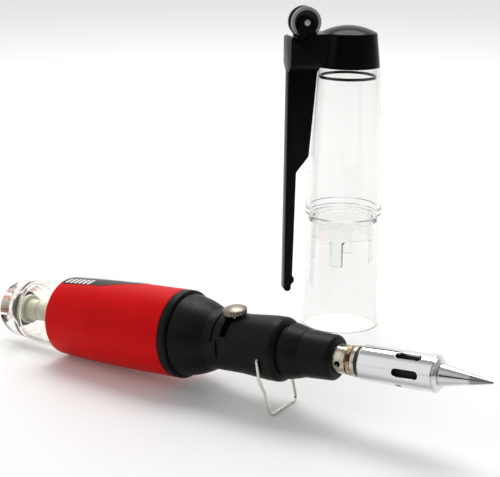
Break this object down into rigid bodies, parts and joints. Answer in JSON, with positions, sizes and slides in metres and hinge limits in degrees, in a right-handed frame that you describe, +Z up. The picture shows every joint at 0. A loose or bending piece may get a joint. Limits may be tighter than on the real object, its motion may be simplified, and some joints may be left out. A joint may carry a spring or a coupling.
{
  "type": "butane torch",
  "caption": "Pen-size butane soldering torch lying on its fold-down wire stand, with its clear cap and flint wheel igniter standing upright beside it.",
  "frame": {"origin": "on the ground, under the middle of the whole object's bounding box", "axes": "+X along the lying torch on the ground, towards its tip; +Y from the torch to the standing cap; +Z up"},
  "size_m": [0.1722, 0.1038, 0.11],
  "materials": {
    "clear_tank": "clear moulded plastic",
    "tank_white": "moulded plastic",
    "seal_rubber": "rubber",
    "filler_white": "moulded plastic",
    "filler_brass": "turned brass",
    "spring_steel": "drawn steel wire",
    "wick_fibre": "fibre cord",
    "filter_fibre": "porous disc",
    "grip_red": "satin red lacquer",
    "label_black": "black printed film",
    "black_plastic": "black moulded plastic",
    "valve_brass": "turned brass",
    "control_black": "black moulded plastic",
    "knob_nickel": "nickel plated, knurled",
    "burner_nickel": "nickel plated brass",
    "copper_wire": "copper wire",
    "gasket_dark": "dark gasket",
    "tip_chrome": "polished chrome plate",
    "mesh_steel": "pierced steel",
    "catalyst_grey": "coated ceramic",
    "tip_iron": "iron plated, turned",
    "stand_wire": "bright steel wire",
    "clear_cap": "clear moulded plastic",
    "flint_grey": "ferrocerium rod",
    "wheel_steel": "knurled steel",
    "spark_steel": "toothed hardened steel"
  },
  "bodies": {
    "torch": {"fuel_tank": "clear_tank", "tank_plug": "tank_white", "tank_seal_ring": "seal_rubber", "filler_valve_body": "filler_white", "filler_valve_gasket": "seal_rubber", "filler_spring": "spring_steel", "filler_spring_seat": "filler_brass", "fuel_wick": "wick_fibre", "gas_filter": "filter_fibre", "grip_sleeve": "grip_red", "sleeve_label": "label_black", "collar_ring": "black_plastic", "front_housing": "black_plastic", "gas_valve_body": "valve_brass", "gas_line": "valve_brass", "jet_holder": "valve_brass", "gas_jet": "valve_brass", "burner_tube": "burner_nickel", "copper_sealing_coil": "copper_wire", "union_ring": "burner_nickel", "tip_gasket": "gasket_dark", "nose_ring": "black_plastic", "nose_sleeve": "black_plastic", "tip_body": "tip_chrome", "tip_nut": "tip_chrome", "flame_mesh": "mesh_steel", "catalyst": "catalyst_grey", "soldering_tip": "tip_iron"},
    "filler_stem": {"filler_stem": "filler_brass", "filler_stem_seal": "seal_rubber"},
    "gas_control": {"control_ring": "control_black", "lever_post": "spring_steel", "gas_lever_knob": "knob_nickel"},
    "valve_needle": {"valve_needle": "spring_steel", "needle_cross_pin": "spring_steel"},
    "wire_stand": {"wire_stand": "stand_wire"},
    "cap": {"cap_tube": "clear_cap", "cap_grip_insert": "clear_cap", "cap_seal_ring": "black_plastic", "cap_top": "black_plastic", "pocket_clip": "black_plastic", "flint": "flint_grey", "flint_spring": "spring_steel", "flint_screw": "filler_brass", "wheel_axle": "wheel_steel"},
    "flint_wheel": {"near_thumb_wheel": "wheel_steel", "far_thumb_wheel": "wheel_steel", "spark_wheel": "spark_steel"}
  },
  "joints": [
    {"name": "filler_stem_press", "type": "slide", "parent": "torch", "child": "filler_stem", "axis": [0.9973, 0, 0.0741], "range_m": [0, 0.0012], "stiffness_N_per_m": 250, "springref_m": -0.002, "deforming": ["filler_spring"]},
    {"name": "gas_control_turn", "type": "hinge", "parent": "torch", "child": "gas_control", "pos_m": [0.00594, -0.0384, 0.01725], "axis": [0.9973, 0, 0.0741], "range_deg": [0, 50]},
    {"name": "needle_lift", "type": "slide", "parent": "torch", "child": "valve_needle", "axis": [0.9973, 0, 0.0741], "range_m": [0, 0.0008]},
    {"name": "stand_fold", "type": "hinge", "parent": "torch", "child": "wire_stand", "pos_m": [0.018, -0.0384, 0.01694], "axis": [0, 1, 0], "range_deg": [0, 68]},
    {"name": "cap_lift", "type": "slide", "parent": "torch", "child": "cap", "axis": [0, 0, 1], "range_m": [0, 0.15]},
    {"name": "flint_wheel_turn", "type": "hinge", "parent": "cap", "child": "flint_wheel", "pos_m": [-0.01288, 0.02706, 0.1048], "axis": [0.7314, -0.682, 0], "continuous": true}
  ],
  "couplings": [
    {"joint": "needle_lift", "follows": "gas_control_turn", "m_per_rad": 0.000916}
  ]
}
